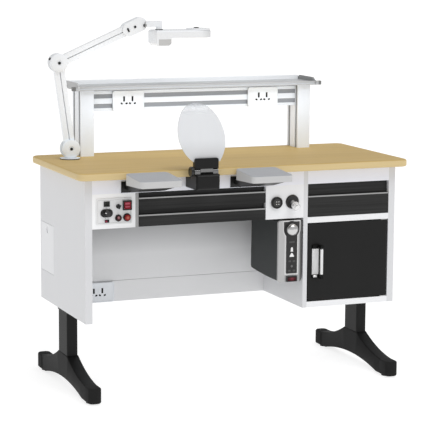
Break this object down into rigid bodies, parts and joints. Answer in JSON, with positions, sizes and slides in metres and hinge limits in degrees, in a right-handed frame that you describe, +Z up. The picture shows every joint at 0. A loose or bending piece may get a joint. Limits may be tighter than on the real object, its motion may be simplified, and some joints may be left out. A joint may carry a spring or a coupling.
{
  "type": "technician workbench",
  "caption": "Dental technician's workbench with drawers, door cabinet, over-shelf with outlet rail, swing-arm lamp, suction nozzle with tilting shield and pull-out armrests.",
  "frame": {"origin": "on the floor below the middle of the bench's outline", "axes": "+X to the seated user's right, +Y away from the user to the back, +Z up"},
  "size_m": [1.2, 0.75, 1.253],
  "materials": {
    "beige_top": "satin laminate",
    "white_board": "satin white lacquer",
    "black_steel": "black powder coat",
    "black_casting": "black powder coat",
    "pad_rubber": "matt",
    "white_aluminium": "white powder coat",
    "grey_aluminium": "anodised",
    "light_plate": "satin",
    "white_plastic": "gloss",
    "black_plastic": "satin",
    "black_front": "satin",
    "grey_plastic": "satin",
    "steel": "brushed",
    "bright": "polished",
    "silver_plastic": "silver satin",
    "red_lens": "translucent red",
    "shield_pane": "clear",
    "lamp_lens": "opal"
  },
  "bodies": {
    "bench": {"tabletop": "beige_top", "left_side": "white_board", "filter_hatch": "white_board", "knee_panels": "white_board", "back_panel": "white_board", "carcass_floors": "white_board", "cabinet_sides": "white_board", "front_apron": "white_board", "drawer_case_sides": "white_board", "service_panel": "white_board", "control_box": "white_plastic", "power_outlets": "white_plastic", "control_plate": "light_plate", "shelf_plate": "light_plate", "control_fittings": "black_plastic", "armrest_frames": "black_plastic", "suction_nozzle": "black_plastic", "service_sockets": "black_plastic", "motor_case": "black_plastic", "suction_unit": "black_plastic", "drawer_runners": "steel", "door_pivots": "steel", "columns": "black_steel", "feet": "black_casting", "foot_pads": "pad_rubber", "uprights": "white_aluminium", "outlet_rail": "white_aluminium", "lamp_foot": "white_aluminium", "shelf_frame": "grey_aluminium", "motor_bezel": "silver_plastic"},
    "upper_drawer": {"upper_drawer": "black_front"},
    "lower_drawer": {"lower_drawer": "black_front"},
    "cabinet_drawer": {"cabinet_drawer": "black_front"},
    "door": {"cabinet_door": "black_front", "door_handle": "bright"},
    "left_armrest": {"left_armrest": "grey_plastic"},
    "right_armrest": {"right_armrest": "grey_plastic"},
    "shield": {"shield_clamp": "black_plastic", "shield": "shield_pane"},
    "shield_knob": {"shield_knob": "black_plastic"},
    "lamp_swivel": {"lamp_swivel": "white_aluminium"},
    "lower_bar_a": {"lower_bar_a": "white_aluminium"},
    "lower_bar_b": {"lower_bar_b": "white_aluminium"},
    "elbow": {"lamp_elbow": "white_aluminium"},
    "upper_bar_a": {"upper_bar_a": "white_aluminium"},
    "upper_bar_b": {"upper_bar_b": "white_aluminium"},
    "wrist": {"lamp_wrist": "white_aluminium"},
    "yoke": {"lamp_yoke": "white_aluminium"},
    "head": {"lamp_head": "white_plastic", "lamp_diffuser": "lamp_lens"},
    "power_rocker": {"power_rocker": "red_lens"},
    "start_button": {"start_button": "red_lens"},
    "stop_button": {"stop_button": "red_lens"},
    "speed_knob": {"speed_knob": "black_plastic"},
    "mode_pointer": {"mode_pointer": "black_plastic"},
    "air_sleeve": {"air_sleeve": "bright"},
    "motor_dial": {"motor_dial": "silver_plastic"},
    "motor_button": {"motor_button": "black_plastic"},
    "motor_rocker": {"motor_rocker": "red_lens"}
  },
  "joints": [
    {"name": "upper_drawer_slide", "type": "slide", "parent": "bench", "child": "upper_drawer", "axis": [0, -1, 0], "range_m": [0, 0.22]},
    {"name": "lower_drawer_slide", "type": "slide", "parent": "bench", "child": "lower_drawer", "axis": [0, -1, 0], "range_m": [0, 0.22]},
    {"name": "cabinet_drawer_slide", "type": "slide", "parent": "bench", "child": "cabinet_drawer", "axis": [0, -1, 0], "range_m": [0, 0.3]},
    {"name": "door_swing", "type": "hinge", "parent": "bench", "child": "door", "pos_m": [0.534, -0.171, 0.42], "axis": [0, 0, 1], "range_deg": [0, 105]},
    {"name": "left_armrest_slide", "type": "slide", "parent": "bench", "child": "left_armrest", "axis": [0, -1, 0], "range_m": [0, 0.08]},
    {"name": "right_armrest_slide", "type": "slide", "parent": "bench", "child": "right_armrest", "axis": [0, -1, 0], "range_m": [0, 0.08]},
    {"name": "shield_tilt", "type": "hinge", "parent": "bench", "child": "shield", "pos_m": [-0.174, -0.252, 0.766], "axis": [1, 0, 0], "range_deg": [-30, 45]},
    {"name": "shield_knob_turn", "type": "hinge", "parent": "bench", "child": "shield_knob", "pos_m": [-0.2155, -0.252, 0.766], "axis": [1, 0, 0], "continuous": true},
    {"name": "lamp_turn", "type": "hinge", "parent": "bench", "child": "lamp_swivel", "pos_m": [-0.503, 0.183, 0.77], "axis": [0, 0, 1], "range_deg": [-75, 15]},
    {"name": "lower_arm_tilt", "type": "hinge", "parent": "lamp_swivel", "child": "lower_bar_a", "pos_m": [-0.4961, 0.183, 0.82545], "axis": [0, 1, 0], "range_deg": [-15, 8]},
    {"name": "lower_bar_follow", "type": "hinge", "parent": "lamp_swivel", "child": "lower_bar_b", "pos_m": [-0.51491, 0.183, 0.8228], "axis": [0, 1, 0], "range_deg": [-15, 8]},
    {"name": "elbow_level", "type": "hinge", "parent": "lower_bar_a", "child": "elbow", "pos_m": [-0.53256, 0.183, 1.0849], "axis": [0, 1, 0], "range_deg": [-8, 15]},
    {"name": "upper_arm_tilt", "type": "hinge", "parent": "elbow", "child": "upper_bar_a", "pos_m": [-0.52418, 0.183, 1.09987], "axis": [0, 1, 0], "range_deg": [-25, 8]},
    {"name": "upper_bar_follow", "type": "hinge", "parent": "elbow", "child": "upper_bar_b", "pos_m": [-0.53175, 0.183, 1.11729], "axis": [0, 1, 0], "range_deg": [-25, 8]},
    {"name": "wrist_level", "type": "hinge", "parent": "upper_bar_a", "child": "wrist", "pos_m": [-0.28391, 0.183, 1.20434], "axis": [0, 1, 0], "range_deg": [-8, 25]},
    {"name": "head_tilt", "type": "hinge", "parent": "wrist", "child": "yoke", "pos_m": [-0.25101, 0.183, 1.229], "axis": [0, 1, 0], "range_deg": [-15, 12]},
    {"name": "head_turn", "type": "hinge", "parent": "yoke", "child": "head", "pos_m": [-0.17701, 0.183, 1.229], "axis": [0, 0, 1], "range_deg": [-35, 35]},
    {"name": "power_rock", "type": "hinge", "parent": "bench", "child": "power_rocker", "pos_m": [-0.4235, -0.184, 0.6555], "axis": [1, 0, 0], "range_deg": [0, 12]},
    {"name": "start_press", "type": "slide", "parent": "bench", "child": "start_button", "axis": [0, 1, 0], "range_m": [0, 0.003], "stiffness_N_per_m": 600},
    {"name": "stop_press", "type": "slide", "parent": "bench", "child": "stop_button", "axis": [0, 1, 0], "range_m": [0, 0.003], "stiffness_N_per_m": 600},
    {"name": "speed_turn", "type": "hinge", "parent": "bench", "child": "speed_knob", "pos_m": [-0.4945, -0.18, 0.6325], "axis": [0, -1, 0], "range_deg": [-135, 135]},
    {"name": "mode_turn", "type": "hinge", "parent": "bench", "child": "mode_pointer", "pos_m": [-0.454, -0.18, 0.653], "axis": [0, -1, 0], "range_deg": [0, 60]},
    {"name": "air_sleeve_pull", "type": "slide", "parent": "bench", "child": "air_sleeve", "axis": [0, 0.9397, 0.342], "range_m": [0, 0.004], "stiffness_N_per_m": 800},
    {"name": "dial_turn", "type": "hinge", "parent": "bench", "child": "motor_dial", "pos_m": [0.1725, -0.1825, 0.542], "axis": [0, -1, 0], "range_deg": [-140, 140]},
    {"name": "key_press", "type": "slide", "parent": "bench", "child": "motor_button", "axis": [0, 1, 0], "range_m": [0, 0.0015], "stiffness_N_per_m": 400},
    {"name": "unit_rock", "type": "hinge", "parent": "bench", "child": "motor_rocker", "pos_m": [0.1725, -0.184, 0.3715], "axis": [1, 0, 0], "range_deg": [0, 12]}
  ],
  "couplings": [
    {"joint": "lower_bar_follow", "follows": "lower_arm_tilt", "ratio": 1},
    {"joint": "elbow_level", "follows": "lower_arm_tilt", "ratio": -1},
    {"joint": "upper_bar_follow", "follows": "upper_arm_tilt", "ratio": 1},
    {"joint": "wrist_level", "follows": "upper_arm_tilt", "ratio": -1}
  ]
}
